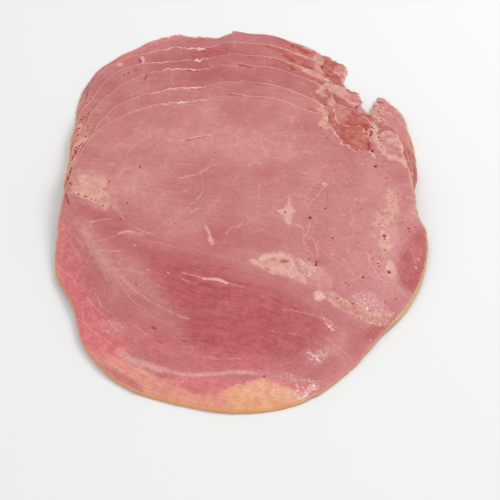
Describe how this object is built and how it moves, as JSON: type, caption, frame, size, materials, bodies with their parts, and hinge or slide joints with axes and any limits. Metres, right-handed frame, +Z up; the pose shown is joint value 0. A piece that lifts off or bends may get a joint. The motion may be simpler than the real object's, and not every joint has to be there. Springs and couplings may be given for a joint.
{
  "type": "sliced salt beef",
  "caption": "Thin slices of cured, cooked beef, fanned out and lying on each other, each with a torn corner at the back right and a fat cap along its front edge.",
  "frame": {"origin": "middle of the footprint of the whole stack of slices, on the surface that it rests on", "axes": "+Z up, +X to the right and +Y to the back, away from the side that the top slice lies nearest to"},
  "size_m": [0.1762, 0.272, 0.0105],
  "materials": {
    "cured_meat": "moist and slightly glossy, pink with pale streaks of fat, with a tan rim"
  },
  "bodies": {
    "root": {"slice_1": "cured_meat", "slice_2": "cured_meat", "slice_3": "cured_meat", "slice_4": "cured_meat", "slice_5": "cured_meat", "slice_6": "cured_meat"}
  },
  "joints": []
}
